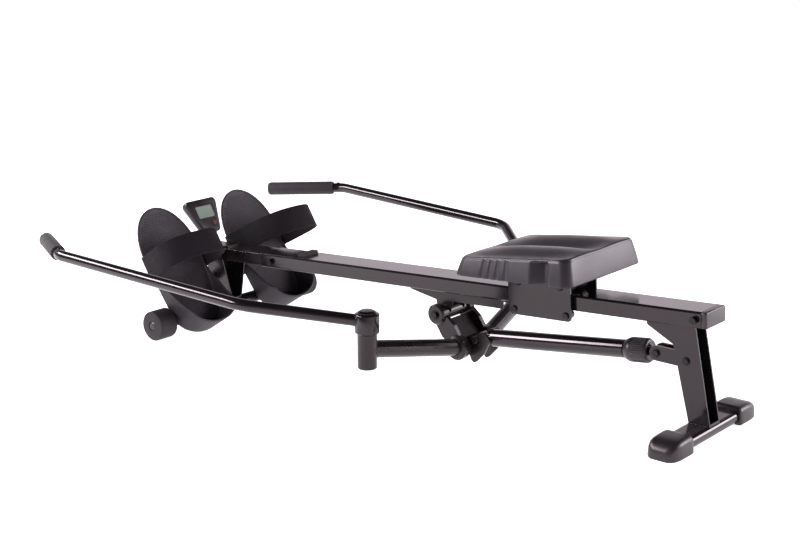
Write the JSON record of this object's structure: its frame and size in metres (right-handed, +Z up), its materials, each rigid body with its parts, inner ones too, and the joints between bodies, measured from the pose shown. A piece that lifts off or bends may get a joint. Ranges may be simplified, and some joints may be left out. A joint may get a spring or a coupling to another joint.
{
  "type": "hydraulic rowing machine",
  "caption": "Low rowing machine: rolling seat on a flat rail, folding side arms on a crank with a hydraulic cylinder under the rail, pivoting footplates with straps and a small display.",
  "frame": {"origin": "centre of the outline on the floor", "axes": "+X along the rail towards the rear leg, +Z up, the rower faces -X and the left side is at -Y"},
  "size_m": [1.5972, 0.9724, 0.3441],
  "materials": {
    "frame_paint": "gloss black powder coat",
    "moulded_plastic": "fine grain",
    "hardware": "darkened zinc plate",
    "button": "satin",
    "display": "clear over grey-green",
    "wheel_rubber": "matt",
    "grip_foam": "matt foam",
    "footplate_plastic": "fine grain",
    "rod_chrome": "polished",
    "seat_cover": "satin moulded skin",
    "strap_webbing": "woven"
  },
  "bodies": {
    "frame": {"arm_saddle": "frame_paint", "beam_rear_cap": "moulded_plastic", "clevis_bolt": "hardware", "console_bracket": "frame_paint", "console_housing": "moulded_plastic", "console_screen": "display", "cylinder_bracket": "frame_paint", "front_post": "frame_paint", "front_post_bolt": "hardware", "front_seat_stop": "wheel_rubber", "front_stabilizer": "frame_paint", "main_beam": "frame_paint", "pedal_axle": "hardware", "pivot_bolt": "hardware", "rear_foot_cap_left": "moulded_plastic", "rear_foot_cap_right": "moulded_plastic", "rear_post": "frame_paint", "rear_post_bolt": "hardware", "rear_stabilizer": "frame_paint", "rear_stop_bolt": "hardware", "wheel_bolt_left": "hardware", "wheel_bolt_right": "hardware"},
    "seat": {"keeper_pin_front_left": "hardware", "keeper_pin_front_right": "hardware", "keeper_pin_rear_left": "hardware", "keeper_pin_rear_right": "hardware", "seat_axle_front": "hardware", "seat_axle_rear": "hardware", "seat_carriage": "frame_paint", "seat_cushion": "seat_cover", "seat_pan": "frame_paint"},
    "roller_front": {"seat_roller_front": "moulded_plastic"},
    "roller_rear": {"seat_roller_rear": "moulded_plastic"},
    "crank": {"arm_crank": "frame_paint", "elbow_pin_left": "hardware", "elbow_pin_right": "hardware"},
    "cylinder": {"cylinder_body": "frame_paint"},
    "rod": {"piston_rod": "rod_chrome"},
    "dial": {"resistance_dial": "moulded_plastic"},
    "button": {"console_button": "button"},
    "wheel_left": {"transport_wheel_left": "wheel_rubber"},
    "footplate_left": {"pedal_left": "footplate_plastic", "strap_left": "strap_webbing"},
    "arm_left": {"outer_arm_left": "frame_paint", "grip_left": "grip_foam"},
    "keeper_front_left": {"keeper_roller_front_left": "moulded_plastic"},
    "keeper_rear_left": {"keeper_roller_rear_left": "moulded_plastic"},
    "wheel_right": {"transport_wheel_right": "wheel_rubber"},
    "footplate_right": {"pedal_right": "footplate_plastic", "strap_right": "strap_webbing"},
    "arm_right": {"outer_arm_right": "frame_paint", "grip_right": "grip_foam"},
    "keeper_front_right": {"keeper_roller_front_right": "moulded_plastic"},
    "keeper_rear_right": {"keeper_roller_rear_right": "moulded_plastic"}
  },
  "joints": [
    {"name": "seat_slide", "type": "slide", "parent": "frame", "child": "seat", "axis": [0.9982, 0, 0.0596], "range_m": [-0.62, 0.265]},
    {"name": "roller_front_spin", "type": "hinge", "parent": "seat", "child": "roller_front", "pos_m": [0.35203, -0.00002, 0.25167], "axis": [0, 1, 0], "continuous": true},
    {"name": "keeper_front_left_spin", "type": "hinge", "parent": "seat", "child": "keeper_front_left", "pos_m": [0.34349, -0.03372, 0.19345], "axis": [0, 1, 0], "continuous": true},
    {"name": "keeper_front_right_spin", "type": "hinge", "parent": "seat", "child": "keeper_front_right", "pos_m": [0.34349, 0.03368, 0.19345], "axis": [0, 1, 0], "continuous": true},
    {"name": "roller_rear_spin", "type": "hinge", "parent": "seat", "child": "roller_rear", "pos_m": [0.45585, -0.00002, 0.25786], "axis": [0, 1, 0], "continuous": true},
    {"name": "keeper_rear_left_spin", "type": "hinge", "parent": "seat", "child": "keeper_rear_left", "pos_m": [0.47126, -0.03372, 0.20108], "axis": [0, 1, 0], "continuous": true},
    {"name": "keeper_rear_right_spin", "type": "hinge", "parent": "seat", "child": "keeper_rear_right", "pos_m": [0.47126, 0.03368, 0.20108], "axis": [0, 1, 0], "continuous": true},
    {"name": "wheel_left_spin", "type": "hinge", "parent": "frame", "child": "wheel_left", "pos_m": [-0.54924, -0.24002, 0.0355], "axis": [0, 1, 0], "continuous": true},
    {"name": "footplate_left_tilt", "type": "hinge", "parent": "frame", "child": "footplate_left", "pos_m": [-0.59182, -0.13702, 0.09644], "axis": [0, 1, 0], "range_deg": [-25, 0]},
    {"name": "wheel_right_spin", "type": "hinge", "parent": "frame", "child": "wheel_right", "pos_m": [-0.54924, 0.23998, 0.0355], "axis": [0, 1, 0], "continuous": true},
    {"name": "footplate_right_tilt", "type": "hinge", "parent": "frame", "child": "footplate_right", "pos_m": [-0.59182, 0.13698, 0.09644], "axis": [0, 1, 0], "range_deg": [-25, 0]},
    {"name": "arm_lift", "type": "hinge", "parent": "frame", "child": "crank", "pos_m": [0.13989, -0.00002, 0.14296], "axis": [0, 1, 0], "range_deg": [0, 60]},
    {"name": "elbow_left", "type": "hinge", "parent": "crank", "child": "arm_left", "pos_m": [0.14305, -0.28302, 0.15893], "axis": [0.0102, 0, 0.9999], "range_deg": [-10, 75]},
    {"name": "elbow_right", "type": "hinge", "parent": "crank", "child": "arm_right", "pos_m": [0.14305, 0.28298, 0.15893], "axis": [0.0102, 0, 0.9999], "range_deg": [-75, 10]},
    {"name": "cylinder_pitch", "type": "hinge", "parent": "frame", "child": "cylinder", "pos_m": [0.66201, -0.00002, 0.15212], "axis": [0, 1, 0], "range_deg": [-6.2, 0.5]},
    {"name": "rod_slide", "type": "slide", "parent": "cylinder", "child": "rod", "axis": [-0.992, 0, -0.1263], "range_m": [-0.001, 0.096]},
    {"name": "dial_turn", "type": "hinge", "parent": "cylinder", "child": "dial", "pos_m": [0.61539, -0.00002, 0.14618], "axis": [-0.992, 0, -0.1263], "range_deg": [-165, 165]},
    {"name": "button_press", "type": "slide", "parent": "frame", "child": "button", "axis": [-0.8442, 0, -0.536], "range_m": [0, 0.0015], "stiffness_N_per_m": 400}
  ],
  "couplings": [
    {"joint": "roller_front_spin", "follows": "seat_slide", "rad_per_m": 64.516},
    {"joint": "keeper_front_left_spin", "follows": "seat_slide", "rad_per_m": -117.65},
    {"joint": "keeper_front_right_spin", "follows": "seat_slide", "rad_per_m": -117.65},
    {"joint": "roller_rear_spin", "follows": "seat_slide", "rad_per_m": 64.516},
    {"joint": "keeper_rear_left_spin", "follows": "seat_slide", "rad_per_m": -117.65},
    {"joint": "keeper_rear_right_spin", "follows": "seat_slide", "rad_per_m": -117.65},
    {"joint": "cylinder_pitch", "follows": "arm_lift", "ratio": -0.0918},
    {"joint": "rod_slide", "follows": "arm_lift", "m_per_rad": 0.0827}
  ]
}
